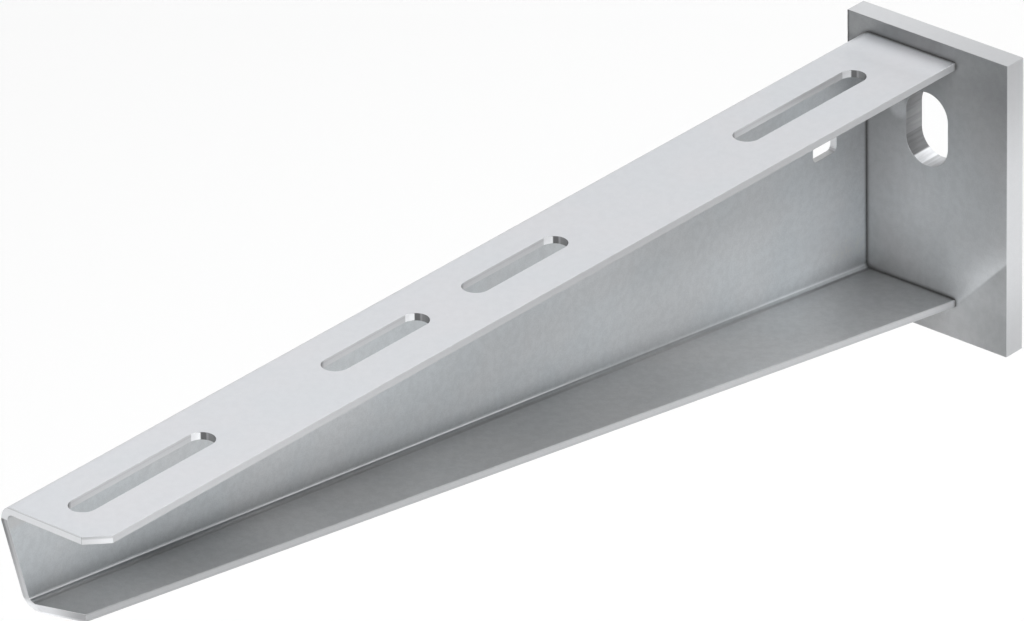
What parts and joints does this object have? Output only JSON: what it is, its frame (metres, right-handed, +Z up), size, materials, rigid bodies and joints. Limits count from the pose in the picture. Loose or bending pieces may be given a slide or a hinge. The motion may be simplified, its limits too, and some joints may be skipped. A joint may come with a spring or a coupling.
{
  "type": "cable tray bracket",
  "caption": "Cantilever wall bracket for cable tray: a tapered folded steel channel with a slotted top flange on a thick slotted head plate.",
  "frame": {"origin": "on the wall plane, level with the arm's top face, in line with the tray slots", "axes": "+X out from the wall along the arm, +Z up through the arm's top face, +Y towards the channel's open side"},
  "size_m": [0.3163, 0.05, 0.08],
  "materials": {
    "galvanised_sheet": "satin",
    "galvanised_plate": "satin"
  },
  "bodies": {
    "root": {"arm": "galvanised_sheet", "head_plate": "galvanised_plate", "weld_bead": "galvanised_plate"}
  },
  "joints": []
}
